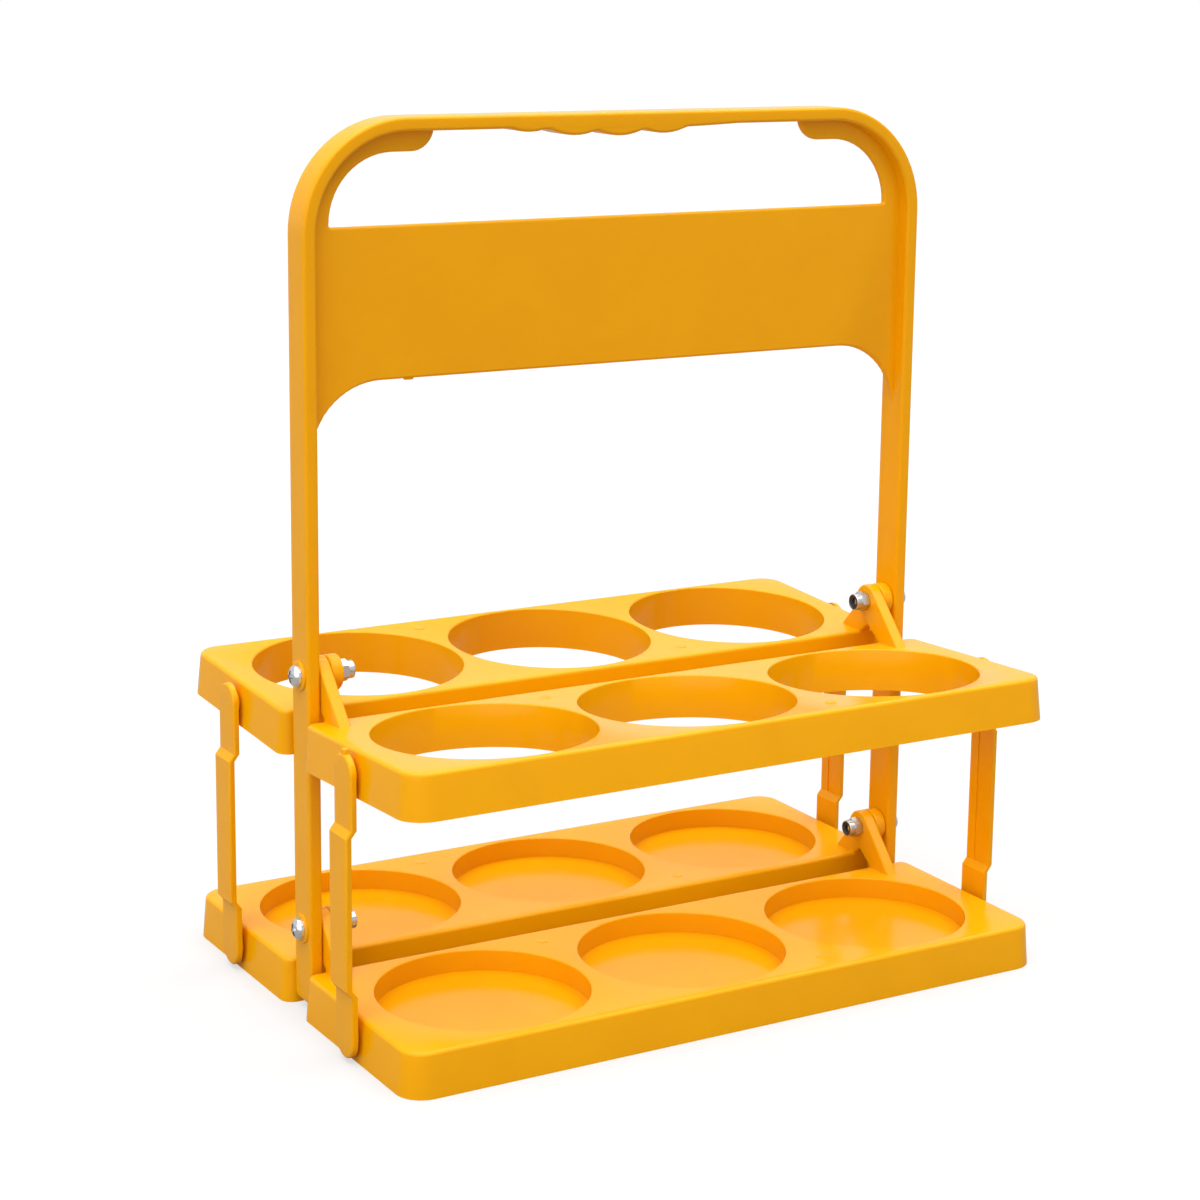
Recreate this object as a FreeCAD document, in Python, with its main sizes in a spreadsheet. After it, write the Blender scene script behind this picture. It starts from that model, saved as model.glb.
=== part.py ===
"""Foldable drink carrier: a handle frame, four trays, four side links and their hardware.

The row frame has +X along the carrier, +Y across it and +Z up. The origin is on the ground, in the middle of
the footprint. The carrier looks the same after half a turn about Z, so the front tray of each tier is also the
rear one, turned round.
"""
import FreeCAD, Part
import math
import os
import re

import Sketcher

Vector = FreeCAD.Vector
Rotation = FreeCAD.Rotation

# Driving dimensions in millimetres and degrees
SIZES = {
    # handle frame
    "frame_width": 260,
    "frame_height": 321.5,
    "foot_height": 3,
    "foot_radius": 3,
    "rail_thickness": 5,
    "rail_depth": 14,
    "rail_corner_radius": 40,
    "rail_edge_radius": 1.2,
    "panel_thickness": 3,
    "panel_drop": 37.8,
    "panel_depth": 54.5,
    "panel_corner_radius": 27,
    "panel_edge_radius": 1.1,
    "web_width": 7.4,
    "web_foot_radius": 0.8,
    "web_reach": 53,
    "web_end_radius": 8.8,
    "boss_diameter": 11,
    "boss_height": 0.8,
    "boss_edge_radius": 0.4,
    # belly and finger ridges under the grip
    "belly_left": -50,
    "belly_right": 46,
    "belly_depth": 1.2,
    "ridge_first": -41.5,
    "ridge_pitch": 18.6,
    "ridge_radius": 24,
    "ridge_depth_a": 1.3,
    "ridge_depth_b": 2.9,
    "ridge_depth_c": 3.4,
    "ridge_depth_d": 2.9,
    "valley_radius": 5,
    # trays
    "tray_overhang": 3.8,
    "tray_height": 16.4,
    "tray_leg_gap": 0.3,
    "tray_wall": 2,
    "tray_plate": 2,
    "draft_angle": 4.5,
    "outer_corner_radius": 10,
    "inner_corner_radius": 5,
    "top_edge_radius": 1.6,
    "mouth_edge_radius": 0.5,
    "end_margin": 10.8,
    "side_margin": 3.6,
    "hole_bridge": 3,
    "recess_step": 2.8,
    "recess_depth": 8,
    "recess_floor": 2,
    "upper_tilt": 2.7,
    # ears and the bolt axes
    "axis_spacing": 94.4,
    "upper_ear_height": 15.5,
    "lower_ear_height": 14.5,
    "ear_thickness": 4.6,
    "ear_gap": 0.2,
    "ear_radius": 6.4,
    "ear_edge_radius": 0.8,
    "ear_reach": 21.5,
    "ear_root": 1.4,
    # side links
    "link_width": 13.8,
    "link_thickness": 2.2,
    "link_gap": 1.3,
    "link_bow": 2,
    "link_edge_radius": 0.9,
    "link_end": 7.6,
    "stud_drop": 21.8,
    "upper_jog_drop": 18.2,
    "lower_jog_rise": 16.2,
    "jog_height": 2.6,
    "groove_width": 4.6,
    "groove_depth": 0.5,
    "stud_diameter": 4.8,
    "stud_clearance": 0.06,
    "stud_head_diameter": 6.4,
    "stud_head_height": 1.6,
    "stud_collar_diameter": 8.6,
    "stud_slot": 0.9,
    "stud_seat_gap": 0.15,
    # bolts and lock nuts
    "bolt_diameter": 4,
    "bolt_length": 20,
    "bolt_tip_chamfer": 0.5,
    "head_diameter": 8,
    "head_rim": 0.9,
    "head_height": 3.1,
    "head_shoulder": 2.5,
    "cross_span": 4.4,
    "cross_slot": 1,
    "cross_depth": 1.7,
    "hinge_clearance": 0.06,
    "leg_hole_clearance": 0.1,
    "thread_clearance": 0.03,
    "nut_width": 7,
    "nut_hex_height": 3.2,
    "nut_height": 5.6,
    "collar_diameter": 6.6,
    "collar_wall": 0.4,
    "collar_round": 0.35,
    "insert_height": 2,
    "insert_lip": 0.6,
    "insert_bore": 3.2,
    "insert_clearance": 0.02,
}

# Places worked out from the driving dimensions, in the row frame unless a tray or a link is named
LOWER_AXIS = "(tray_height + lower_ear_height)"
UPPER_AXIS = f"({LOWER_AXIS} + axis_spacing)"
LEG_FACE = "(frame_width / 2 - rail_thickness)"
GRIP_UNDERSIDE = "(frame_height - rail_thickness)"
PANEL_TOP = "(frame_height - panel_drop)"
PANEL_BOTTOM = f"({PANEL_TOP} - panel_depth)"
WEB_END = "(frame_width / 2 - web_reach)"
HALF_TRAY = "(frame_width / 2 + tray_overhang)"
HOLE_PITCH = f"((2 * {HALF_TRAY} - 2 * end_margin + hole_bridge) / 3)"
HOLE = f"({HOLE_PITCH} - hole_bridge)"
RECESS = f"({HOLE} - recess_step)"
TRAY_INNER = "(rail_depth / 2 + tray_leg_gap)"
TRAY_OUTER = f"({TRAY_INNER} + {HOLE} + 2 * side_margin)"
TRAY_ROW = f"({TRAY_INNER} + {HOLE} / 2 + side_margin)"
TRAY_SLOPE = "(tray_height * tan(draft_angle))"
OUTER_EAR = f"({LEG_FACE} - ear_gap)"
INNER_EAR = f"({OUTER_EAR} - ear_thickness - ear_gap)"
NUT_SEAT = f"({INNER_EAR} - ear_thickness - ear_gap)"
LINK_FACE = f"({HALF_TRAY} + link_gap)"
STUD_HEIGHT = f"({LOWER_AXIS} - stud_drop)"
PIVOT_HOLE = "(bolt_diameter + 2 * hinge_clearance)"
PLACES = (f"-{HOLE_PITCH}", "0", HOLE_PITCH)
NUT_TURNS = {"upper_left": 6, "upper_right": 38, "lower_left": 24, "lower_right": 52}

doc = FreeCAD.newDocument("drink_carrier")
sheet = doc.addObject("Spreadsheet::Sheet", "size")


def fill_sheet():
    """Writes each driving dimension to the sheet, with its name beside it and as its alias."""
    for row, (name, value) in enumerate(SIZES.items(), start=1):
        sheet.set(f"A{row}", name)
        sheet.set(f"B{row}", str(value))
        sheet.setAlias(f"B{row}", name)
    doc.recompute()


def formula(text):
    """Turns the names of driving dimensions in a formula into references to the sheet."""
    return re.sub(r"[a-z_]+", lambda word: f"size.{word[0]}" if word[0] in SIZES else word[0], str(text))


def value(text):
    """Works out a formula of driving dimensions as a number."""
    return float(sheet.evalExpression(formula(text)))


def bind(item, prop, text):
    """Binds a property of a document object to a formula of driving dimensions."""
    item.setExpression(prop, formula(text))


def new_body(label):
    """Starts a sub-part with its own label."""
    body = doc.addObject("PartDesign::Body", label)
    body.Label = label
    return body


def origin_plane(body, role):
    """Finds one of the body's own origin planes."""
    return next(feature for feature in body.Origin.OriginFeatures if feature.Role == role)


def new_sketch(body, name, role, offset="0", centre=("0", "0")):
    """Starts a sketch on an origin plane, moved along its normal and within the plane by formulas."""
    sketch = body.newObject("Sketcher::SketchObject", name)
    sketch.AttachmentSupport = [(origin_plane(body, role), "")]
    sketch.MapMode = "FlatFace"
    bind(sketch, "AttachmentOffset.Base.x", centre[0])
    bind(sketch, "AttachmentOffset.Base.y", centre[1])
    bind(sketch, "AttachmentOffset.Base.z", offset)
    return sketch


def constrain(sketch, kind, *where, size=None):
    """Adds a constraint, bound to a formula where it has a size."""
    if size is None:
        sketch.addConstraint(Sketcher.Constraint(kind, *where))
        return
    index = sketch.addConstraint(Sketcher.Constraint(kind, *where, value(size)))
    bind(sketch, f"Constraints[{index}]", size)


def place_point(sketch, geometry, end, across, up):
    """Holds a point of a sketch at two formulas, measured from the sketch's origin."""
    constrain(sketch, "DistanceX", -1, 1, geometry, end, size=across)
    constrain(sketch, "DistanceY", -1, 1, geometry, end, size=up)


def arc_between(start, end, radius, turn):
    """Makes the shorter arc from start to end, turning left (1) or right (-1) on the way."""
    chord = end - start
    middle = (start + end) * 0.5
    height = math.sqrt(max(radius ** 2 - (chord.Length / 2) ** 2, 0.0))
    side = Vector(-chord.y, chord.x, 0).normalize() * (height * turn)
    centre = middle + side
    first, last = (start, end) if turn > 0 else (end, start)
    angles = [math.atan2(point.y - centre.y, point.x - centre.x) for point in (first, last)]
    return Part.ArcOfCircle(Part.Circle(centre, Vector(0, 0, 1), radius), angles[0], angles[1])


def draw_outline(sketch, corners):
    """Draws a closed outline.

    Each corner is (across, up) or, where an arc leads to it, (across, up, radius, turn), all as formulas but
    for the turn, which is 1 for left and -1 for right.
    """
    points = [Vector(value(corner[0]), value(corner[1]), 0) for corner in corners]
    ends = []
    for index, corner in enumerate(corners):
        start, end = points[index - 1], points[index]
        if len(corner) == 2:
            geometry = sketch.addGeometry(Part.LineSegment(start, end))
            ends.append((geometry, 1, 2))
            continue
        geometry = sketch.addGeometry(arc_between(start, end, value(corner[2]), corner[3]))
        constrain(sketch, "Radius", geometry, size=corner[2])
        ends.append((geometry, 1, 2) if corner[3] > 0 else (geometry, 2, 1))
    for index, corner in enumerate(corners):
        geometry, _, last = ends[index]
        following, first, _ = ends[(index + 1) % len(ends)]
        constrain(sketch, "Coincident", geometry, last, following, first)
        place_point(sketch, geometry, last, corner[0], corner[1])


def draw_circle(sketch, across, up, diameter):
    """Draws a circle with its centre and diameter held by formulas."""
    centre = Vector(value(across), value(up), 0)
    geometry = sketch.addGeometry(Part.Circle(centre, Vector(0, 0, 1), value(diameter) / 2))
    place_point(sketch, geometry, 3, across, up)
    constrain(sketch, "Diameter", geometry, size=diameter)


def rounded_rectangle(left, right, low, high, low_radius, high_radius):
    """Lists the corners of an upright rectangle with rounded corners, two radii low and two high."""
    return [
        (f"{right} - {low_radius}", low),
        (right, f"{low} + {low_radius}", low_radius, 1),
        (right, f"{high} - {high_radius}"),
        (f"{right} - {high_radius}", high, high_radius, 1),
        (f"{left} + {high_radius}", high),
        (left, f"{high} - {high_radius}", high_radius, 1),
        (left, f"{low} + {low_radius}"),
        (f"{left} + {low_radius}", low, low_radius, 1),
    ]


def extrude(body, kind, sketch, length, symmetric=False, reverse=False, taper=None):
    """Adds a Pad or a Pocket of a sketch and checks that it changed the solid."""
    before = body.Shape.Volume if body.Shape and not body.Shape.isNull() else 0.0
    feature = body.newObject(f"PartDesign::{kind}", f"{sketch.Name}_{kind.lower()}")
    feature.Profile = sketch
    if length is None:
        feature.Type = "ThroughAll"
    else:
        bind(feature, "Length", length)
    feature.SideType = "Symmetric" if symmetric else "One side"
    feature.Reversed = reverse
    if taper is not None:
        bind(feature, "TaperAngle", taper)
    sketch.Visibility = False
    doc.recompute()
    grown = body.Shape.Volume - before
    if grown * (1 if kind == "Pad" else -1) <= 0:
        raise RuntimeError(f"{feature.Name} changed nothing")
    return feature


def revolve(body, kind, sketch, axis):
    """Adds a Revolution or a Groove of a sketch about one of the sketch's own axes."""
    feature = body.newObject(f"PartDesign::{kind}", f"{sketch.Name}_{kind.lower()}")
    feature.Profile = sketch
    feature.ReferenceAxis = (sketch, [axis])
    feature.Angle = 360
    sketch.Visibility = False
    doc.recompute()
    return feature


def edges_where(body, test):
    """Names the edges of a body's tip that pass a test."""
    edges = body.Tip.Shape.Edges
    return [f"Edge{number}" for number, edge in enumerate(edges, start=1) if test(edge)]


def round_edges(body, name, radius, test):
    """Rounds the edges of a body that pass a test."""
    base = body.Tip
    names = edges_where(body, test)
    if not names:
        raise RuntimeError(f"{name} finds no edge")
    fillet = body.newObject("PartDesign::Fillet", name)
    fillet.Base = (base, names)
    bind(fillet, "Radius", radius)
    doc.recompute()
    if not fillet.isValid():
        raise RuntimeError(f"{name} failed on {len(names)} edges")
    return fillet


def near(first, second, tolerance=1e-4):
    """Tells whether two lengths are the same."""
    return abs(first - second) < tolerance


def lies_at(edge, axis, places):
    """Tells whether a whole edge lies in a plane square to an axis, at one of some places."""
    box = edge.BoundBox
    low = getattr(box, f"{axis}Min")
    high = getattr(box, f"{axis}Max")
    return any(near(low, place, 1e-3) and near(high, place, 1e-3) for place in places)


def strap_outline():
    """Lists the corners of the bent strap, from the foot of the left leg round to the right one and back."""
    outer = "frame_width / 2"
    bend = "rail_corner_radius"
    under = "(rail_corner_radius - rail_thickness)"
    return [
        (f"-{outer}", "foot_height"),
        (f"-{outer}", f"frame_height - {bend}"),
        (f"{bend} - {outer}", "frame_height", bend, -1),
        (f"{outer} - {bend}", "frame_height"),
        (outer, f"frame_height - {bend}", bend, -1),
        (outer, "foot_height"),
        (LEG_FACE, "foot_height"),
        (LEG_FACE, f"frame_height - {bend}"),
        (f"{LEG_FACE} - {under}", "frame_height - rail_thickness", under, 1),
        (f"{under} - {LEG_FACE}", "frame_height - rail_thickness"),
        (f"-{LEG_FACE}", f"frame_height - {bend}", under, 1),
        (f"-{LEG_FACE}", "foot_height"),
    ]


def panel_outline():
    """Lists the corners of the flat sheet between the legs, with a web round each top corner of the strap.

    The sheet runs into the middle of the strap. Its webs end in round hooks under the grip.
    """
    middle = "(frame_width / 2 - rail_thickness / 2)"
    top = "(frame_height - rail_thickness / 2)"
    shoulder = "(frame_height - rail_corner_radius)"
    bend = "(rail_corner_radius - rail_thickness / 2)"
    under = f"({GRIP_UNDERSIDE} - web_width)"
    inside = f"({LEG_FACE} - web_width)"
    web_foot = f"({PANEL_TOP} + web_foot_radius)"
    web_bend = f"({under} - {web_foot})"
    hook = f"({under} + web_end_radius)"
    foot = f"({PANEL_BOTTOM} - panel_corner_radius)"
    straight = f"({LEG_FACE} - panel_corner_radius)"
    return [
        # down the right side, inside the strap
        (WEB_END, top),
        (f"{middle} - {bend}", top),
        (middle, shoulder, bend, -1),
        (middle, foot),
        (LEG_FACE, foot),
        # along the bottom and up the left side
        (straight, PANEL_BOTTOM, "panel_corner_radius", 1),
        (f"-{straight}", PANEL_BOTTOM),
        (f"-{LEG_FACE}", foot, "panel_corner_radius", 1),
        (f"-{middle}", foot),
        (f"-{middle}", shoulder),
        (f"{bend} - {middle}", top, bend, -1),
        (f"-{WEB_END}", top),
        # round the left web
        (f"-{WEB_END}", hook),
        (f"-{WEB_END} - web_end_radius", under, "web_end_radius", -1),
        (f"{web_bend} - {inside}", under),
        (f"-{inside}", web_foot, web_bend, 1),
        (f"web_foot_radius - {inside}", PANEL_TOP, "web_foot_radius", 1),
        # along the sheet's top and round the right web
        (f"{inside} - web_foot_radius", PANEL_TOP),
        (inside, web_foot, "web_foot_radius", 1),
        (f"{inside} - {web_bend}", under, web_bend, 1),
        (f"{WEB_END} + web_end_radius", under),
        (WEB_END, hook, "web_end_radius", -1),
    ]


def bulge(body, name, left, right, seat, radius):
    """Adds the segment of a round bar under the grip, across its whole depth."""
    sketch = new_sketch(body, name, "XZ_Plane")
    draw_outline(sketch, [(left, seat), (right, seat, radius, 1)])
    extrude(body, "Pad", sketch, "rail_depth", symmetric=True)


def add_finger_ridges(body):
    """Thickens the grip with a flat belly and a row of soft ridges for the fingers."""
    seat = "frame_height - rail_thickness / 2"
    for index, depth in enumerate(("ridge_depth_a", "ridge_depth_b", "ridge_depth_c", "ridge_depth_d")):
        centre = f"(ridge_first + {index} * ridge_pitch)"
        rise = f"({depth} + rail_thickness / 2)"
        half = f"sqrt(ridge_radius ^ 2 - (ridge_radius - {rise}) ^ 2)"
        bulge(body, f"ridge_{index + 1}", f"{centre} - {half}", f"{centre} + {half}", seat, "ridge_radius")
    half = "((belly_right - belly_left) / 2)"
    radius = f"(({half} ^ 2 + belly_depth ^ 2) / (2 * belly_depth))"
    bulge(body, "belly", "belly_left", "belly_right", GRIP_UNDERSIDE, radius)


def smooth_valleys(body):
    """Blends the ridges into the belly and into each other."""
    depth = value("rail_depth / 2")
    high = value(f"{GRIP_UNDERSIDE} - belly_depth / 8")
    low = value(f"{GRIP_UNDERSIDE} - ridge_depth_c")

    def valley(edge):
        box = edge.BoundBox
        across = near(box.YMin, -depth) and near(box.YMax, depth)
        return across and low < box.ZMin and box.ZMax < high

    round_edges(body, "valley_rounding", "valley_radius", valley)


def add_bolt_seats(body):
    """Adds a shallow boss round each bolt on the legs' outer faces and drills the legs."""
    for side, outward in (("left", False), ("right", True)):
        face = "frame_width / 2" if outward else "-frame_width / 2"
        sketch = new_sketch(body, f"{side}_bosses", "YZ_Plane", offset=face)
        draw_circle(sketch, "0", LOWER_AXIS, "boss_diameter")
        draw_circle(sketch, "0", UPPER_AXIS, "boss_diameter")
        extrude(body, "Pad", sketch, "boss_height", reverse=not outward)
    rim = value("frame_width / 2 + boss_height")
    round_edges(body, "boss_rounding", "boss_edge_radius", lambda edge: lies_at(edge, "X", [-rim, rim]))
    sketch = new_sketch(body, "leg_holes", "YZ_Plane")
    draw_circle(sketch, "0", LOWER_AXIS, "bolt_diameter + 2 * leg_hole_clearance")
    draw_circle(sketch, "0", UPPER_AXIS, "bolt_diameter + 2 * leg_hole_clearance")
    extrude(body, "Pocket", sketch, "frame_width + 4 * boss_height", symmetric=True)


def round_frame(body):
    """Rounds the long edges of the strap, the corners of its feet and the free edges of the sheet."""
    depth = value("rail_depth / 2")
    foot = value("foot_height")
    round_edges(body, "foot_rounding", "foot_radius",
                lambda edge: lies_at(edge, "Z", [foot]) and lies_at(edge, "Y", [-depth, depth]))
    round_edges(body, "strap_rounding", "rail_edge_radius", lambda edge: lies_at(edge, "Y", [-depth, depth]))


def round_panel(body):
    """Rounds the free edges of the sheet and its webs, before the strap closes over the outer rim."""
    half = value("panel_thickness / 2")
    side = value(LEG_FACE) + 0.01
    top = value("frame_height - rail_thickness / 2") - 0.01

    def free(edge):
        box = edge.BoundBox
        return lies_at(edge, "Y", [-half, half]) and -side < box.XMin and box.XMax < side and box.ZMax < top

    round_edges(body, "panel_rounding", "panel_edge_radius", free)


def make_handle_frame():
    """Builds the carrying frame: strap, sheet, webs, finger ridges, bosses and bolt holes, as one moulding."""
    body = new_body("handle_frame")
    panel = new_sketch(body, "panel", "XZ_Plane")
    draw_outline(panel, panel_outline())
    extrude(body, "Pad", panel, "panel_thickness", symmetric=True)
    round_panel(body)
    strap = new_sketch(body, "strap", "XZ_Plane")
    draw_outline(strap, strap_outline())
    extrude(body, "Pad", strap, "rail_depth", symmetric=True)
    add_finger_ridges(body)
    smooth_valleys(body)
    round_frame(body)
    add_bolt_seats(body)
    return body


def add_shell(body, top):
    """Builds the drafted shell of a tray: a plate with a rounded top edge and a skirt all round."""
    rim = f"(-{top} - tray_height)"
    outline = new_sketch(body, f"{body.Name}_outline", "XY_Plane", offset=rim)
    corners = rounded_rectangle(f"-{HALF_TRAY}", HALF_TRAY, f"-{TRAY_OUTER}", f"-{TRAY_INNER}",
                                "outer_corner_radius", "inner_corner_radius")
    draw_outline(outline, corners)
    extrude(body, "Pad", outline, "tray_height", taper="-draft_angle")
    height = value(f"-{top}")
    round_edges(body, f"{body.Name}_top_rounding", "top_edge_radius", lambda edge: lies_at(edge, "Z", [height]))
    hollow = new_sketch(body, f"{body.Name}_hollow", "XY_Plane", offset=rim)
    corners = rounded_rectangle(f"(tray_wall - {HALF_TRAY})", f"({HALF_TRAY} - tray_wall)",
                                f"tray_wall - {TRAY_OUTER}", f"-{TRAY_INNER} - tray_wall",
                                "(outer_corner_radius - tray_wall)", "(inner_corner_radius - tray_wall)")
    draw_outline(hollow, corners)
    extrude(body, "Pocket", hollow, "tray_height - tray_plate", reverse=True, taper="-draft_angle")


def draw_row(sketch, diameter):
    """Draws the three circles of a tray's row of places."""
    for place in PLACES:
        draw_circle(sketch, place, f"-{TRAY_ROW}", diameter)


def add_tubes(body, top):
    """Gives an upper tray its three through holes, each with a wall as deep as the skirt."""
    for index, place in enumerate(PLACES, start=1):
        wall = new_sketch(body, f"{body.Name}_tube_{index}", "XY_Plane", offset=f"(-{top} - tray_height)")
        draw_circle(wall, place, f"-{TRAY_ROW}", f"{HOLE} + 2 * tray_wall")
        extrude(body, "Pad", wall, "tray_height - tray_plate")
    holes = new_sketch(body, f"{body.Name}_holes", "XY_Plane", offset=f"-{top}")
    draw_row(holes, HOLE)
    extrude(body, "Pocket", holes, None)


def add_cups(body, top):
    """Gives a lower tray its three shallow round recesses, each with a wall and a floor of its own."""
    bottom = f"(-{top} - recess_depth - recess_floor)"
    for index, place in enumerate(PLACES, start=1):
        wall = new_sketch(body, f"{body.Name}_cup_{index}", "XY_Plane", offset=bottom)
        draw_circle(wall, place, f"-{TRAY_ROW}", f"{RECESS} + 2 * tray_wall")
        extrude(body, "Pad", wall, "recess_depth + recess_floor - tray_plate")
    recesses = new_sketch(body, f"{body.Name}_recesses", "XY_Plane", offset=f"-{top}")
    draw_row(recesses, RECESS)
    extrude(body, "Pocket", recesses, "recess_depth")


def draw_ear(sketch, top):
    """Draws an ear: a round head on the bolt axis, with a straight edge down each side to the tray."""
    radius = value("ear_radius")
    inner = f"-({TRAY_INNER} + {TRAY_SLOPE})"
    near_foot = Vector(value(inner), value(f"-{top}"), 0)
    far_foot = Vector(value("-ear_reach"), value(f"-{top}"), 0)
    angles = []
    for foot, side in ((near_foot, 1), (far_foot, -1)):
        angles.append(math.atan2(foot.y, foot.x) + side * math.acos(radius / foot.Length))
    near_top = Vector(math.cos(angles[0]), math.sin(angles[0]), 0) * radius
    far_top = Vector(math.cos(angles[1]), math.sin(angles[1]), 0) * radius
    root = Vector(0, -value("ear_root"), 0)
    lines = [(near_foot, near_top), (far_top, far_foot), (far_foot, far_foot + root),
             (far_foot + root, near_foot + root), (near_foot + root, near_foot)]
    rise, fall, far_side, base, near_side = [sketch.addGeometry(Part.LineSegment(*line)) for line in lines]
    circle = Part.Circle(Vector(0, 0, 0), Vector(0, 0, 1), radius)
    head = sketch.addGeometry(Part.ArcOfCircle(circle, angles[0], angles[1]))
    constrain(sketch, "Coincident", head, 3, -1, 1)
    constrain(sketch, "Radius", head, size="ear_radius")
    constrain(sketch, "Tangent", rise, 2, head, 1)
    constrain(sketch, "Tangent", fall, 1, head, 2)
    for first, second in ((fall, far_side), (far_side, base), (base, near_side), (near_side, rise)):
        constrain(sketch, "Coincident", first, 2, second, 1)
    place_point(sketch, rise, 1, inner, f"-{top}")
    place_point(sketch, fall, 2, "-ear_reach", f"-{top}")
    place_point(sketch, far_side, 2, "-ear_reach", f"-{top} - ear_root")
    place_point(sketch, base, 2, inner, f"-{top} - ear_root")
    draw_circle(sketch, "0", "0", PIVOT_HOLE)


def add_ears(body, top):
    """Adds a tray's two ears: the left one against the leg, the right one inside the other tray's ear."""
    for side, place in (("left", f"-{OUTER_EAR}"), ("right", f"({INNER_EAR} - ear_thickness)")):
        sketch = new_sketch(body, f"{body.Name}_{side}_ear", "YZ_Plane", offset=place)
        draw_ear(sketch, top)
        extrude(body, "Pad", sketch, "ear_thickness")
    faces = [value(face) for face in (f"-{OUTER_EAR}", f"ear_thickness - {OUTER_EAR}",
                                      INNER_EAR, f"{INNER_EAR} - ear_thickness")]
    hole = value(PIVOT_HOLE)
    round_edges(body, f"{body.Name}_ear_edges", "ear_edge_radius",
                lambda edge: lies_at(edge, "X", faces) and edge.BoundBox.ZLength > hole + 1e-3)


def drill_stud_holes(body, tilt):
    """Drills the end walls for the links' studs, which lie level with each other in both tiers at rest."""
    across = f"(stud_drop * sin({tilt}) - {TRAY_ROW} * cos({tilt}))"
    up = f"(-{TRAY_ROW} * sin({tilt}) - stud_drop * cos({tilt}))"
    for side, place in (("left", f"-{HALF_TRAY}"), ("right", HALF_TRAY)):
        sketch = new_sketch(body, f"{body.Name}_{side}_stud", "YZ_Plane", offset=place)
        draw_circle(sketch, across, up, "stud_diameter + 2 * stud_clearance")
        extrude(body, "Pocket", sketch, f"2 * tray_wall + {TRAY_SLOPE}", reverse=side == "left")


def round_mouths(body, top, diameter):
    """Takes the sharp edge off the mouths of a tray's holes or recesses."""
    height = value(f"-{top}")
    radius = value(f"{diameter} / 2")

    def mouth(edge):
        return lies_at(edge, "Z", [height]) and hasattr(edge.Curve, "Radius") and near(edge.Curve.Radius, radius)

    round_edges(body, f"{body.Name}_mouths", "mouth_edge_radius", mouth)


def make_tray(tier, row):
    """Builds one tray, with its own origin on the bolt axis and its outer side towards -Y before it is turned."""
    body = new_body(f"{tier}_{row}_tray")
    top = f"{tier}_ear_height"
    tilt = "upper_tilt" if tier == "upper" else "0"
    add_shell(body, top)
    if tier == "upper":
        add_tubes(body, top)
    else:
        add_cups(body, top)
    round_mouths(body, top, HOLE if tier == "upper" else RECESS)
    add_ears(body, top)
    drill_stud_holes(body, tilt)
    leaning = Rotation(Vector(1, 0, 0), -value(tilt))
    turned = Rotation(Vector(0, 0, 1), 180 if row == "rear" else 0)
    body.Placement = FreeCAD.Placement(Vector(0, 0, 0), turned.multiply(leaning))
    bind(body, "Placement.Base.z", UPPER_AXIS if tier == "upper" else LOWER_AXIS)
    return body


def link_outline():
    """Lists the corners of a link seen from its edge, bowed outward between two jogs."""
    inner = f"-{LINK_FACE}"
    outer = f"({inner} - link_thickness)"
    upper, lower = "(-upper_jog_drop)", "(lower_jog_rise - axis_spacing)"
    high, low = "link_end", "(-axis_spacing - link_end)"
    return [
        (inner, high),
        (outer, high),
        (outer, upper),
        (f"{outer} - link_bow", f"{upper} - jog_height"),
        (f"{outer} - link_bow", f"{lower} + jog_height"),
        (outer, lower),
        (outer, low),
        (inner, low),
        (inner, lower),
        (f"{inner} - link_bow", f"{lower} + jog_height"),
        (f"{inner} - link_bow", f"{upper} - jog_height"),
        (inner, upper),
    ]


def stud_outline():
    """Lists half of the section of a stud: a collar, a shank and a snap head with a lead-in cone.

    The tray's end wall leans, so the collar clears it low down and the head clears it high up.
    """
    collar_lean = f"(({STUD_HEIGHT} - stud_collar_diameter / 2) * tan(draft_angle))"
    head_lean = f"(({STUD_HEIGHT} + stud_head_diameter / 2) * tan(draft_angle))"
    collar = f"({collar_lean} - {HALF_TRAY} - stud_seat_gap)"
    catch = f"({head_lean} - {HALF_TRAY} + tray_wall + stud_seat_gap)"
    sunk = f"(-{LINK_FACE} - link_thickness / 2)"
    return [
        (sunk, "0"),
        (sunk, "stud_collar_diameter / 2"),
        (collar, "stud_collar_diameter / 2"),
        (collar, "stud_diameter / 2"),
        (catch, "stud_diameter / 2"),
        (catch, "stud_head_diameter / 2"),
        (f"{catch} + stud_head_height", "stud_diameter / 2"),
        (f"{catch} + stud_head_height", "0"),
    ]


def round_link(body):
    """Gives a link's strip its half-round ends and takes the sharp edge off its outer face."""
    half = value("link_width / 2")
    ends = [value("link_end"), value("-axis_spacing - link_end")]
    round_edges(body, f"{body.Name}_ends", "link_width / 2 - link_edge_radius / 20",
                lambda edge: lies_at(edge, "Z", ends) and lies_at(edge, "Y", [-half, half]))
    bowed = value(f"-{LINK_FACE} - link_thickness - link_bow")
    flat = value(f"-{LINK_FACE} - link_thickness")
    jogs = [value(place) for place in ("-upper_jog_drop", "-upper_jog_drop - jog_height",
                                       "lower_jog_rise - axis_spacing + jog_height", "lower_jog_rise - axis_spacing")]

    def outside(edge):
        box = edge.BoundBox
        crosses = lies_at(edge, "Z", jogs)
        return box.XMax < flat + 0.01 and not crosses

    def jog_side(edge):
        box = edge.BoundBox
        slanted = near(box.XMin, bowed) and near(box.XMax, flat)
        return slanted and lies_at(edge, "Y", [-half, half])

    round_edges(body, f"{body.Name}_edges", "link_edge_radius", lambda edge: outside(edge) or jog_side(edge))


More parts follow.
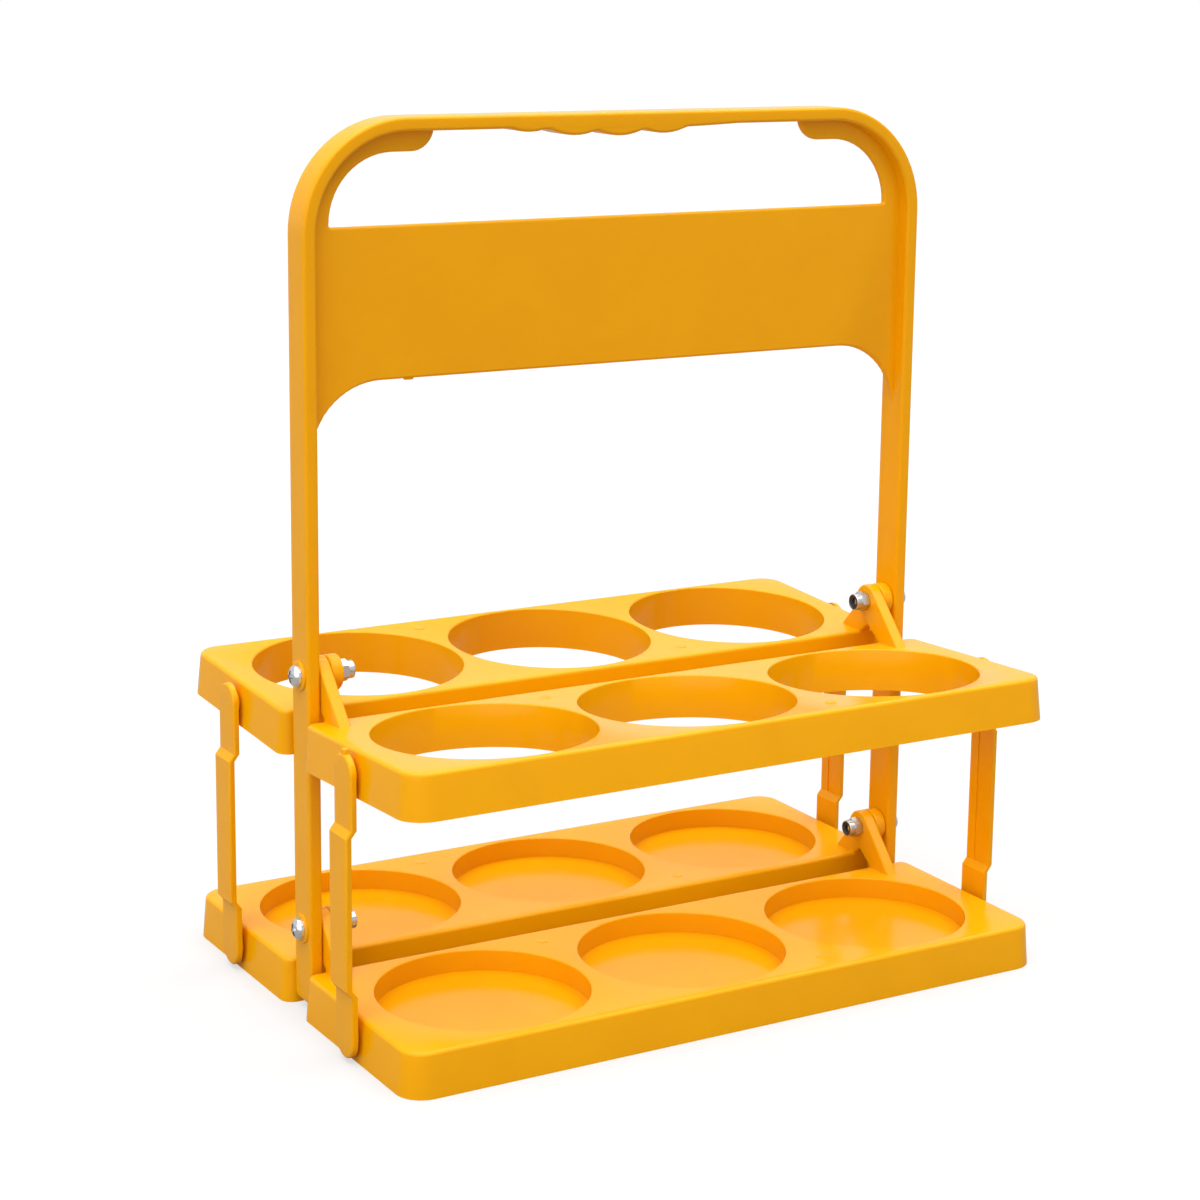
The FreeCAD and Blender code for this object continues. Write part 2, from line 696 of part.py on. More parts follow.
def make_link(row, side):
    """Builds a side link with its own origin on its upper stud's axis, facing -X before it is turned."""
    body = new_body(f"{row}_{side}_link")
    strip = new_sketch(body, f"{body.Name}_strip", "XZ_Plane")
    draw_outline(strip, link_outline())
    extrude(body, "Pad", strip, "link_width", symmetric=True)
    round_link(body)
    groove = new_sketch(body, f"{body.Name}_groove", "YZ_Plane", offset=f"-{LINK_FACE} - link_bow")
    half = "groove_width / 2"
    high, low = "-upper_jog_drop - jog_height", "lower_jog_rise + jog_height - axis_spacing"
    draw_outline(groove, [(f"-{half}", low), (half, low), (half, high), (f"-{half}", high)])
    extrude(body, "Pocket", groove, "groove_depth")
    for name, height in (("upper", "0"), ("lower", "-axis_spacing")):
        stud = new_sketch(body, f"{body.Name}_{name}_stud", "XZ_Plane", centre=("0", height))
        draw_outline(stud, stud_outline())
        revolve(body, "Revolution", stud, "H_Axis")
    slots = new_sketch(body, f"{body.Name}_slots", "XZ_Plane")
    base, tip = f"tray_wall / 2 - {HALF_TRAY}", f"3 * tray_wall + 2 * stud_head_height - {HALF_TRAY}"
    for height in ("0", "-axis_spacing"):
        high, low = f"{height} + stud_slot / 2", f"{height} - stud_slot / 2"
        draw_outline(slots, [(base, low), (tip, low), (tip, high), (base, high)])
    extrude(body, "Pocket", slots, "link_width", symmetric=True)
    sign = 1 if row == "rear" else -1
    body.Placement = FreeCAD.Placement(Vector(0, 0, 0), Rotation(Vector(0, 0, 1), 0 if side == "left" else 180))
    bind(body, "Placement.Base.y", f"{sign} * {TRAY_ROW}")
    bind(body, "Placement.Base.z", f"{UPPER_AXIS} - stud_drop")
    return body


def seat_hardware(body, tier, side, distance):
    """Lays a bolt or nut along X on its bolt axis, with its own +Z axis turned away from the carrier's middle."""
    outward = -1 if side == "left" else 1
    laid = Rotation(Vector(0, 0, 1), Vector(outward, 0, 0))
    tightened = Rotation(Vector(0, 0, 1), NUT_TURNS[f"{tier}_{side}"])
    body.Placement = FreeCAD.Placement(Vector(0, 0, 0), laid.multiply(tightened))
    bind(body, "Placement.Base.x", f"{outward} * {distance}")
    bind(body, "Placement.Base.z", UPPER_AXIS if tier == "upper" else LOWER_AXIS)


def make_bolt(tier, side):
    """Builds a pan-head bolt with a cross recess, its origin under the head and its shank towards -Z."""
    body = new_body(f"{tier}_{side}_bolt")
    profile = new_sketch(body, f"{body.Name}_section", "XZ_Plane")
    draw_outline(profile, [
        ("0", "-bolt_length"),
        ("bolt_diameter / 2 - bolt_tip_chamfer", "-bolt_length"),
        ("bolt_diameter / 2", "bolt_tip_chamfer - bolt_length"),
        ("bolt_diameter / 2", "0"),
        ("head_diameter / 2", "0"),
        ("head_diameter / 2", "head_rim"),
        ("head_shoulder", "0.84 * head_height", "0.32 * head_diameter", 1),
        ("0", "head_height", "0.85 * head_diameter", 1),
    ])
    revolve(body, "Revolution", profile, "V_Axis")
    cross = new_sketch(body, f"{body.Name}_cross", "XY_Plane", offset="head_height")
    half, arm = "cross_slot / 2", "cross_span / 2"
    corners = [(half, half), (half, arm), (f"-{half}", arm), (f"-{half}", half), (f"-{arm}", half),
               (f"-{arm}", f"-{half}"), (f"-{half}", f"-{half}"), (f"-{half}", f"-{arm}"), (half, f"-{arm}"),
               (half, f"-{half}"), (arm, f"-{half}"), (arm, half)]
    draw_outline(cross, corners)
    extrude(body, "Pocket", cross, "cross_depth")
    seat_hardware(body, tier, side, "(frame_width / 2 + boss_height)")
    return body


def chamfer_outline(seat, turn):
    """Lists the triangle that bevels a hexagon's corners at one end."""
    inside, outside = "nut_width / 2", "nut_width * 0.62"
    slope = "(nut_width * 0.12 * tan(30))"
    return [(inside, seat), (outside, seat), (outside, f"{seat} + {turn} * {slope}")]


def make_lock_nut(tier, side):
    """Builds a lock nut: a hexagon with bevelled corners and a round collar that holds the insert.

    Its origin is on its bearing face and its collar is towards -Z.
    """
    body = new_body(f"{tier}_{side}_lock_nut")
    hexagon = new_sketch(body, f"{body.Name}_hexagon", "XY_Plane")
    corner = "nut_width / sqrt(3)"
    draw_outline(hexagon, [(f"{corner} * cos({turn})", f"{corner} * sin({turn})") for turn in range(0, 360, 60)])
    extrude(body, "Pad", hexagon, "nut_hex_height", reverse=True)
    for name, seat, turn in (("bearing", "0", -1), ("collar", "-nut_hex_height", 1)):
        bevel = new_sketch(body, f"{body.Name}_{name}_bevel", "XZ_Plane")
        draw_outline(bevel, chamfer_outline(seat, turn))
        revolve(body, "Groove", bevel, "V_Axis")
    outer, inner = "collar_diameter / 2", "(collar_diameter / 2 - collar_wall)"
    collar = new_sketch(body, f"{body.Name}_rim", "XZ_Plane")
    draw_outline(collar, [
        (inner, "-nut_hex_height"),
        (inner, "-nut_height"),
        (f"{outer} - collar_round", "-nut_height"),
        (outer, "collar_round - nut_height", "collar_round", 1),
        (outer, "-nut_hex_height"),
    ])
    revolve(body, "Revolution", collar, "V_Axis")
    bore = new_sketch(body, f"{body.Name}_bore", "XY_Plane")
    draw_circle(bore, "0", "0", "bolt_diameter + 2 * thread_clearance")
    extrude(body, "Pocket", bore, "nut_height")
    seat_hardware(body, tier, side, NUT_SEAT)
    return body


def make_insert(tier, side):
    """Builds the nylon ring inside a lock nut's collar: the bolt has cut into it as far as its narrow lip."""
    body = new_body(f"{tier}_{side}_nut_insert")
    section = new_sketch(body, f"{body.Name}_section", "XZ_Plane")
    inner = "(bolt_diameter / 2 + thread_clearance)"
    outer = "(collar_diameter / 2 - collar_wall - insert_clearance)"
    high, low = "-nut_hex_height", "(-nut_hex_height - insert_height)"
    lip = f"({low} + insert_lip)"
    draw_outline(section, [(inner, high), (inner, lip), ("insert_bore / 2", lip), ("insert_bore / 2", low),
                           (outer, low), (outer, high)])
    revolve(body, "Revolution", section, "V_Axis")
    seat_hardware(body, tier, side, NUT_SEAT)
    return body


def check(bodies):
    """Stops unless every object recomputed and every sub-part is one valid solid."""
    for item in doc.Objects:
        if "Invalid" in item.State or "Error" in item.State:
            raise RuntimeError(f"{item.Name} failed: {item.State}")
    for body in bodies:
        shape = body.Shape
        if shape.isNull() or not shape.isValid() or len(shape.Solids) != 1:
            raise RuntimeError(f"{body.Label} is not one valid solid")


fill_sheet()
parts = [make_handle_frame()]
for tier_name in ("upper", "lower"):
    for row_name in ("front", "rear"):
        parts.append(make_tray(tier_name, row_name))
for row_name in ("front", "rear"):
    for side_name in ("left", "right"):
        parts.append(make_link(row_name, side_name))
for tier_name in ("upper", "lower"):
    for side_name in ("left", "right"):
        parts.append(make_bolt(tier_name, side_name))
        parts.append(make_lock_nut(tier_name, side_name))
        parts.append(make_insert(tier_name, side_name))
doc.recompute()
check(parts)
os.makedirs("parts", exist_ok=True)
for part in parts:
    part.Shape.exportStep(f"parts/{part.Label}.step")
    print(part.Label, round(part.Shape.Volume), part.Shape.BoundBox)
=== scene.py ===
"""Foldable drink carrier: finishes, moulding marks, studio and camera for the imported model."""

import logging
import math
from dataclasses import dataclass
from enum import Enum
from typing import Any, Iterable, Sequence

import bmesh
import bpy
from mathutils import Matrix, Vector


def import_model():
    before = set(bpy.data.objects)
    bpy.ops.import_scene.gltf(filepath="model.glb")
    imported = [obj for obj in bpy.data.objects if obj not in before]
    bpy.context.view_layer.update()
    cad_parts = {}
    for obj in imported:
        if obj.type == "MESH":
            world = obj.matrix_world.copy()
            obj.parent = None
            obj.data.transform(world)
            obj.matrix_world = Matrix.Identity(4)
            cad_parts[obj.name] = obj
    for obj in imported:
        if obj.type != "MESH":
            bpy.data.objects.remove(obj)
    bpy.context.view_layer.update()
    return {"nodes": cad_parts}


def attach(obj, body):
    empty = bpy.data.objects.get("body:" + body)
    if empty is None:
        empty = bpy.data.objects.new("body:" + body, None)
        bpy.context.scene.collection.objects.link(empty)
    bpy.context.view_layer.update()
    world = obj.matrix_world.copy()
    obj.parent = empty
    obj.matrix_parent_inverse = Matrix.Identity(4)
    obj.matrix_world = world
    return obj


MM = 0.001
# Faces that meet at less than this angle shade smoothly into each other
SMOOTH_ANGLE = math.radians(28)
# Corners of a CAD mesh closer than this are one corner
MERGE_DISTANCE = 0.002 * MM
# Noise stays between these values nearly everywhere
NOISE_LOW, NOISE_HIGH = 0.3, 0.7
log = logging.getLogger("drink_carrier")


def hex_to_linear(code: str) -> tuple[float, float, float, float]:
    """Turns an sRGB hex colour into linear RGBA.

    Args:
        code: Colour such as "#F2A71B".

    Returns:
        Linear red, green, blue and an alpha of 1.
    """
    channels = [int(code[i : i + 2], 16) / 255 for i in (1, 3, 5)]
    linear = [c / 12.92 if c <= 0.04045 else ((c + 0.055) / 1.055) ** 2.4 for c in channels]
    return (linear[0], linear[1], linear[2], 1.0)


def add_node(
    tree: bpy.types.NodeTree,
    kind: str,
    settings: dict[str, Any] | None = None,
    inputs: dict[str | int, Any] | None = None,
) -> bpy.types.Node:
    """Adds a node with its settings, and its inputs as values or links.

    Args:
        tree: Node tree that gets the node.
        kind: Node type name.
        settings: Attributes of the node.
        inputs: Values, or output sockets to link, for the node's inputs.

    Returns:
        The new node.
    """
    node = tree.nodes.new(kind)
    for name, value in (settings or {}).items():
        setattr(node, name, value)
    for name, value in (inputs or {}).items():
        if isinstance(value, bpy.types.NodeSocket):
            tree.links.new(value, node.inputs[name])
        else:
            node.inputs[name].default_value = value
    return node


def new_material(name: str) -> tuple[bpy.types.Material, bpy.types.NodeTree]:
    """Starts an empty node material.

    Args:
        name: Name of the finish.

    Returns:
        The material and its node tree.
    """
    material = bpy.data.materials.new(name)
    material.use_nodes = True
    material.node_tree.nodes.clear()
    return material, material.node_tree


class Surface(Enum):
    """How a surface was finished, as the roughness that it leaves."""

    POLISHED_MOULD = 0.17
    BRIGHT_PLATING = 0.16
    TUMBLED_PLATING = 0.27
    SATIN_MOULD = 0.42


class Tier(Enum):
    """Height of a tray."""

    UPPER = "upper"
    LOWER = "lower"


class Row(Enum):
    """Side of the handle that a tray folds out to."""

    FRONT = "front"
    REAR = "rear"

    @property
    def out(self) -> float:
        """Sign of Y on the tray's outer side."""
        return -1.0 if self is Row.FRONT else 1.0


class Side(Enum):
    """End of the carrier, seen from the front."""

    LEFT = "left"
    RIGHT = "right"

    @property
    def out(self) -> float:
        """Sign of X at this end."""
        return -1.0 if self is Side.LEFT else 1.0


@dataclass(frozen=True)
class MouldedPolypropylene:
    """Injection-moulded polypropylene, coloured through.

    A polished mould leaves it glossy, with a faint orange peel and the scuffs of handling. Thin
    walls let some light in, which warms their shaded side. The melt leaves slow, weak streaks in
    the colour.
    """

    name: str = "moulded_polypropylene"
    colour: str = "#EEA504"
    streak_colour: str = "#EBA204"
    surface: Surface = Surface.POLISHED_MOULD
    refractive_index: float = 1.49
    # Shine straight on, where 0.5 is that of the refractive index
    shine: float = 0.17
    # Share of the light that enters the walls, how far it gets, and each colour's part of that
    glow_through: float = 0.1
    glow_depth: float = 2.5 * MM
    glow_colours: tuple[float, float, float] = (1.0, 0.35, 0.05)
    # Streaks run a few centimetres from the gates, and part where the noise crosses this band
    streak_length: float = 38 * MM
    streak_edge: tuple[float, float] = (0.35, 0.65)
    streak_curl: float = 0.8
    # Orange peel is about 0.3 mm wide, drawn at 1.6 mm so that it shows
    peel_width: float = 1.6 * MM
    peel_depth: float = 0.3 * MM
    peel_strength: float = 0.05
    scuff_width: float = 9 * MM
    # Roughness that handling takes off where it polishes, and adds where it dulls
    polished: float = 0.03
    dulled: float = 0.06
    # Hairline scratches are 0.05 mm wide, drawn at 0.4 mm so that they show
    scratch_width: float = 0.4 * MM
    scratch_length: float = 14 * MM
    scratch_angle: float = math.radians(12)
    # Scratches show where the noise crosses this band, and add this roughness
    scratch_edge: tuple[float, float] = (0.66, 0.74)
    scratched: float = 0.07

    def build(self) -> bpy.types.Material:
        """Makes the material.

        Returns:
            The finished material.
        """
        material, tree = new_material(self.name)
        place = add_node(tree, "ShaderNodeTexCoord").outputs["Object"]
        shader = add_node(
            tree,
            "ShaderNodeBsdfPrincipled",
            inputs={
                "Base Color": self.streaks(tree, place),
                "Roughness": self.scuffs(tree, place),
                "Normal": self.orange_peel(tree, place),
                "IOR": self.refractive_index,
                "Specular IOR Level": self.shine,
                "Subsurface Weight": self.glow_through,
                "Subsurface Radius": self.glow_colours,
                "Subsurface Scale": self.glow_depth,
            },
        )
        add_node(tree, "ShaderNodeOutputMaterial", inputs={"Surface": shader.outputs["BSDF"]})
        return material

    def streaks(
        self, tree: bpy.types.NodeTree, place: bpy.types.NodeSocket
    ) -> bpy.types.NodeSocket:
        """Adds the colour with its slow streaks.

        Args:
            tree: The material's nodes.
            place: Object coordinates.

        Returns:
            The colour.
        """
        flow = add_node(
            tree,
            "ShaderNodeTexNoise",
            inputs={
                "Vector": place,
                "Scale": 1 / self.streak_length,
                "Detail": 3.0,
                "Distortion": self.streak_curl,
            },
        )
        share = add_node(
            tree,
            "ShaderNodeMapRange",
            inputs={
                "Value": flow.outputs["Fac"],
                "From Min": self.streak_edge[0],
                "From Max": self.streak_edge[1],
            },
        )
        colour = add_node(
            tree,
            "ShaderNodeMix",
            {"data_type": "RGBA"},
            {
                0: share.outputs["Result"],
                6: hex_to_linear(self.colour),
                7: hex_to_linear(self.streak_colour),
            },
        )
        return colour.outputs[2]

    def scuffs(
        self, tree: bpy.types.NodeTree, place: bpy.types.NodeSocket
    ) -> bpy.types.NodeSocket:
        """Adds the roughness: patches dulled by handling, crossed by hairline scratches.

        Args:
            tree: The material's nodes.
            place: Object coordinates.

        Returns:
            The roughness.
        """
        patches = add_node(
            tree,
            "ShaderNodeTexNoise",
            inputs={
                "Vector": place,
                "Scale": 1 / self.scuff_width,
                "Detail": 5.0,
                "Roughness": 0.65,
            },
        )
        handled = add_node(
            tree,
            "ShaderNodeMapRange",
            inputs={
                "Value": patches.outputs["Fac"],
                "From Min": NOISE_LOW,
                "From Max": NOISE_HIGH,
                "To Min": self.surface.value - self.polished,
                "To Max": self.surface.value + self.dulled,
            },
        )
        # The scratches run roughly along X, as the carriers slide over each other in their carton
        along = add_node(
            tree,
            "ShaderNodeMapping",
            inputs={
                "Vector": place,
                "Rotation": (0.0, 0.0, self.scratch_angle),
                "Scale": (1 / self.scratch_length, 1 / self.scratch_width, 1 / self.scratch_width),
            },
        )
        hairlines = add_node(
            tree,
            "ShaderNodeTexNoise",
            inputs={"Vector": along.outputs["Vector"], "Scale": 1.0, "Detail": 1.0},
        )
        hairline = add_node(
            tree,
            "ShaderNodeMapRange",
            inputs={
                "Value": hairlines.outputs["Fac"],
                "From Min": self.scratch_edge[0],
                "From Max": self.scratch_edge[1],
                "To Min": 0.0,
                "To Max": self.scratched,
            },
        )
        roughness = add_node(
            tree,
            "ShaderNodeMath",
            {"operation": "ADD"},
            {0: handled.outputs["Result"], 1: hairline.outputs["Result"]},
        )
        return roughness.outputs[0]

    def orange_peel(
        self, tree: bpy.types.NodeTree, place: bpy.types.NodeSocket
    ) -> bpy.types.NodeSocket:
        """Adds the faint waviness that the mould's surface leaves.

        Args:
            tree: The material's nodes.
            place: Object coordinates.

        Returns:
            The bent normal.
        """
        peel = add_node(
            tree,
            "ShaderNodeTexNoise",
            inputs={"Vector": place, "Scale": 1 / self.peel_width, "Detail": 1.0, "Roughness": 0.4},
        )
        bump = add_node(
            tree,
            "ShaderNodeBump",
            inputs={
                "Height": peel.outputs["Fac"],
                "Strength": self.peel_strength,
                "Distance": self.peel_depth,
            },
        )
        return bump.outputs["Normal"]


@dataclass(frozen=True)
class ZincPlatedSteel:
    """Cold-headed steel with bright zinc plating.

    It has a hard, pale shine, broken by small dents from tumbling.
    """

    name: str
    colour: str
    surface: Surface
    # Tumbling leaves shallow dents of about half a millimetre
    dent_width: float = 0.5 * MM
    dent_depth: float = 0.1 * MM
    dent_strength: float = 0.12
    # Roughness that tumbling takes off where it polishes, and adds where it dulls
    polished: float = 0.05
    dulled: float = 0.1

    def build(self) -> bpy.types.Material:
        """Makes the material.

        Returns:
            The finished material.
        """
        material, tree = new_material(self.name)
        place = add_node(tree, "ShaderNodeTexCoord").outputs["Object"]
        dents = add_node(
            tree,
            "ShaderNodeTexNoise",
            inputs={"Vector": place, "Scale": 1 / self.dent_width, "Detail": 3.0},
        )
        roughness = add_node(
            tree,
            "ShaderNodeMapRange",
            inputs={
                "Value": dents.outputs["Fac"],
                "From Min": NOISE_LOW,
                "From Max": NOISE_HIGH,
                "To Min": self.surface.value - self.polished,
                "To Max": self.surface.value + self.dulled,
            },
        )
        bump = add_node(
            tree,
            "ShaderNodeBump",
            inputs={
                "Height": dents.outputs["Fac"],
                "Strength": self.dent_strength,
                "Distance": self.dent_depth,
            },
        )
        shader = add_node(
            tree,
            "ShaderNodeBsdfPrincipled",
            inputs={
                "Base Color": hex_to_linear(self.colour),
                "Metallic": 1.0,
                "Roughness": roughness.outputs["Result"],
                "Normal": bump.outputs["Normal"],
            },
        )
        add_node(tree, "ShaderNodeOutputMaterial", inputs={"Surface": shader.outputs["BSDF"]})
        return material


@dataclass(frozen=True)
class BlackNylon:
    """Moulded black nylon, as in a lock nut's ring: a soft sheen and a fine grain."""

    name: str = "black_nylon"
    colour: str = "#131416"
    surface: Surface = Surface.SATIN_MOULD
    refractive_index: float = 1.53
    grain_width: float = 0.35 * MM
    grain_depth: float = 0.1 * MM
    grain_strength: float = 0.15

    def build(self) -> bpy.types.Material:
        """Makes the material.

        Returns:
            The finished material.
        """
        material, tree = new_material(self.name)
        place = add_node(tree, "ShaderNodeTexCoord").outputs["Object"]
        grain = add_node(
            tree,
            "ShaderNodeTexNoise",
            inputs={"Vector": place, "Scale": 1 / self.grain_width, "Detail": 2.0},
        )
        bump = add_node(
            tree,
            "ShaderNodeBump",
            inputs={
                "Height": grain.outputs["Fac"],
                "Strength": self.grain_strength,
                "Distance": self.grain_depth,
            },
        )
        shader = add_node(
            tree,
            "ShaderNodeBsdfPrincipled",
            inputs={
                "Base Color": hex_to_linear(self.colour),
                "Roughness": self.surface.value,
                "Normal": bump.outputs["Normal"],
                "IOR": self.refractive_index,
            },
        )
        add_node(tree, "ShaderNodeOutputMaterial", inputs={"Surface": shader.outputs["BSDF"]})
        return material


def seen_strength(
    tree: bpy.types.NodeTree, light: float, mirrored: float, seen: float
) -> bpy.types.NodeSocket:
    """Adds a strength that differs for light, for reflections and for what is seen directly.

    Args:
        tree: Nodes of a material or the world.
        light: Strength with which it lights the object.
        mirrored: Strength in reflections.
        seen: Strength for the camera and through clear pieces.

    Returns:
        The strength.
    """
    path = add_node(tree, "ShaderNodeLightPath")
    in_gloss = add_node(
        tree,
        "ShaderNodeMapRange",
        inputs={"Value": path.outputs["Is Glossy Ray"], "To Min": light, "To Max": mirrored},
    )
    direct = add_node(
        tree,
        "ShaderNodeMath",
        {"operation": "ADD", "use_clamp": True},
        {0: path.outputs["Is Camera Ray"], 1: path.outputs["Is Transmission Ray"]},
    )
    strength = add_node(
        tree,
        "ShaderNodeMapRange",
        inputs={"Value": direct.outputs[0], "To Min": in_gloss.outputs["Result"], "To Max": seen},
    )
    return strength.outputs["Result"]


@dataclass(frozen=True)
class StudioPaper:
    """Matt paper under the object: white where it is seen, with a soft shadow left in it."""

    name: str = "white_studio_paper"
    # The paper sends less light up than white would. Its glow makes up for that where it is seen
    colour: str = "#8A8A8A"
    glow: float = 0.6
    mirrored_glow: float = 0.05

    def build(self) -> bpy.types.Material:
        """Makes the material.

        Returns:
            The finished material.
        """
        material, tree = new_material(self.name)
        paper = add_node(
            tree,
            "ShaderNodeBsdfDiffuse",
            inputs={"Color": hex_to_linear(self.colour)},
        )
        light = add_node(
            tree,
            "ShaderNodeEmission",
            inputs={"Strength": seen_strength(tree, 0.0, self.mirrored_glow, self.glow)},
        )
        both = add_node(
            tree,
            "ShaderNodeAddShader",
            inputs={0: paper.outputs["BSDF"], 1: light.outputs["Emission"]},
        )
        add_node(tree, "ShaderNodeOutputMaterial", inputs={"Surface": both.outputs["Shader"]})
        return material


def smooth_group(angle: float) -> bpy.types.NodeTree:
    """Makes the modifier that joins a CAD mesh's triangles and shades them smoothly up to an angle.

    Args:
        angle: Largest angle between faces that still shades smoothly, in radians.

    Returns:
        The geometry node group.
    """
    group = bpy.data.node_groups.new("smooth_by_angle", "GeometryNodeTree")
    group.interface.new_socket("Geometry", in_out="INPUT", socket_type="NodeSocketGeometry")
    group.interface.new_socket("Geometry", in_out="OUTPUT", socket_type="NodeSocketGeometry")
    source = add_node(group, "NodeGroupInput")
    merged = add_node(
        group,
        "GeometryNodeMergeByDistance",
        inputs={"Geometry": source.outputs[0], "Distance": MERGE_DISTANCE},
    )
    turn = add_node(group, "GeometryNodeInputMeshEdgeAngle")
    sharp = add_node(
        group,
        "FunctionNodeCompare",
        {"data_type": "FLOAT", "operation": "GREATER_THAN"},
        {0: turn.outputs["Unsigned Angle"], 1: angle},
    )
    smooth_faces = add_node(
        group,
        "GeometryNodeSetShadeSmooth",
        {"domain": "FACE"},
        {"Geometry": merged.outputs[0], "Shade Smooth": True},
    )
    sharp_edges = add_node(
        group,
        "GeometryNodeSetShadeSmooth",
        {"domain": "EDGE"},
        {"Geometry": smooth_faces.outputs[0], "Selection": sharp.outputs[0], "Shade Smooth": False},
    )
    add_node(group, "NodeGroupOutput", inputs={0: sharp_edges.outputs[0]})
    return group


@dataclass(frozen=True)
class Workshop:
    """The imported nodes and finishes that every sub-assembly is made from."""

    nodes: dict[str, bpy.types.Object]
    smoothing: bpy.types.NodeTree
    plastic: bpy.types.Material
    bolt_steel: bpy.types.Material
    nut_steel: bpy.types.Material
    nylon: bpy.types.Material

    def dress(self, name: str, material: bpy.types.Material) -> None:
        """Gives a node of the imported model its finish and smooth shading.

        Args:
            name: The node.
            material: Its finish.
        """
        piece = self.nodes[name]
        piece.data.materials.clear()
        piece.data.materials.append(material)
        modifier = piece.modifiers.new("smooth", "NODES")
        modifier.node_group = self.smoothing
        log.info("%s: %s", name, material.name)

    def mould(self, name: str, work: bmesh.types.BMesh, body: str) -> bpy.types.Object:
        """Turns a bmesh into a plastic piece that rides on a body.

        Args:
            name: Name of the piece.
            work: Its shape in the model's own frame, which is freed.
            body: Body that it rides on.

        Returns:
            The piece.
        """
        bmesh.ops.recalc_face_normals(work, faces=work.faces)
        mesh = bpy.data.meshes.new(name)
        work.to_mesh(mesh)
        work.free()
        mesh.materials.append(self.plastic)
        mesh.shade_smooth()
        mesh.set_sharp_from_angle(angle=SMOOTH_ANGLE)
        piece = bpy.data.objects.new(name, mesh)
        bpy.context.scene.collection.objects.link(piece)
        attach(piece, body)
        log.info("%s rides on %s", name, body)
        return piece


def add_stub(
    work: bmesh.types.BMesh, centre: Vector, size: Sequence[float], rounding: float
) -> None:
    """Adds a small block with rounded edges, as a gate leaves where it was cut.

    Args:
        work: Mesh that gets the block.
        centre: Its middle, in metres.
        size: Its length along X, Y and Z, in metres.
        rounding: Radius of its edges, in metres.
    """
    place = Matrix.Translation(centre) @ Matrix.Diagonal((*size, 1.0))
    corners = bmesh.ops.create_cube(work, size=1.0, matrix=place)["verts"]
    edges = list({edge for corner in corners for edge in corner.link_edges})
    bmesh.ops.bevel(
        work,
        geom=edges,
        offset=rounding,
        offset_type="OFFSET",
        affect="EDGES",
        segments=3,
        profile=0.5,
        material=-1,
        clamp_overlap=True,
    )


@dataclass
class HandleFrame:
    """The one moulding of grip, legs and panel, with the stub of its gate under the panel."""

    workshop: Workshop
    gate_x: float = -86.9 * MM
    panel_bottom: float = 229.2 * MM
    gate_size: tuple[float, float, float] = (3.4 * MM, 1.6 * MM, 0.9 * MM)
    gate_rounding: float = 0.2 * MM
    # How much of the stub stands out of the panel's edge
    gate_height: float = 0.6 * MM

    def build(self) -> None:
        """Builds the gate's stub."""
        work = bmesh.new()
        middle = self.panel_bottom - self.gate_height + self.gate_size[2] / 2
        add_stub(work, Vector((self.gate_x, 0.0, middle)), self.gate_size, self.gate_rounding)
        self.workshop.mould("panel_gate_stub", work, "frame")

    def dress(self) -> None:
        """Gives the frame its finish."""
        self.workshop.dress("handle_frame", self.workshop.plastic)


@dataclass
class Tray:
    """A tray of three places, with the round marks of two ejector pins on its top."""

    workshop: Workshop
    tier: Tier
    row: Row
    mark_width: float = 4.2 * MM
    mark_height: float = 0.16 * MM
    # How deep the marks' discs reach into the top
    mark_root: float = 0.2 * MM
    mark_rounding: float = 0.1 * MM
    mark_corners: int = 32
    # The pins' places on the front tray, measured from the middle of the handle
    pins: tuple[tuple[float, float], ...] = ((-41.5 * MM, -19.4 * MM), (41.5 * MM, -82.4 * MM))
    lower_top: float = 16.4 * MM
    upper_hinge: float = 125.3 * MM
    # How far the top of an upper tray lies under its hinge, and how the tray leans
    upper_drop: float = 15.5 * MM
    upper_lean: float = math.radians(-2.7)

    @property
    def name(self) -> str:
        """Name of the tray's node, without its ending."""
        return f"{self.tier.value}_{self.row.value}"

    def top(self) -> Matrix:
        """Works out where the tray's top plane lies.

        Returns:
            Its place and turn in the model's own frame.
        """
        half_turn = Matrix.Rotation(math.pi if self.row is Row.REAR else 0.0, 4, "Z")
        if self.tier is Tier.LOWER:
            return half_turn @ Matrix.Translation((0.0, 0.0, self.lower_top))
        hinge = Matrix.Translation((0.0, 0.0, self.upper_hinge))
        lean = Matrix.Rotation(self.upper_lean, 4, "X")
        drop = Matrix.Translation((0.0, 0.0, -self.upper_drop))
        return half_turn @ hinge @ lean @ drop

    def build(self) -> None:
        """Builds the ejector pins' marks."""
        work = bmesh.new()
        top = self.top()
        to_top = top.inverted()
        middle = (self.mark_height - self.mark_root) / 2
        for x, y in self.pins:
            made = bmesh.ops.create_cone(
                work,
                cap_ends=True,
                segments=self.mark_corners,
                radius1=self.mark_width / 2,
                radius2=self.mark_width / 2,
                depth=self.mark_height + self.mark_root,
                matrix=top @ Matrix.Translation((x, y, middle)),
            )
            by_height = sorted(made["verts"], key=lambda corner: (to_top @ corner.co).z)
            lifted = set(by_height[self.mark_corners :])
            rim = [edge for edge in work.edges if lifted.issuperset(edge.verts)]
            bmesh.ops.bevel(
                work,
                geom=rim,
                offset=self.mark_rounding,
                offset_type="OFFSET",
                affect="EDGES",
                segments=2,
                profile=0.5,
                material=-1,
            )
        self.workshop.mould(f"{self.name}_pin_marks", work, self.name)

    def dress(self) -> None:
        """Gives the tray its finish."""
        self.workshop.dress(f"{self.name}_tray", self.workshop.plastic)


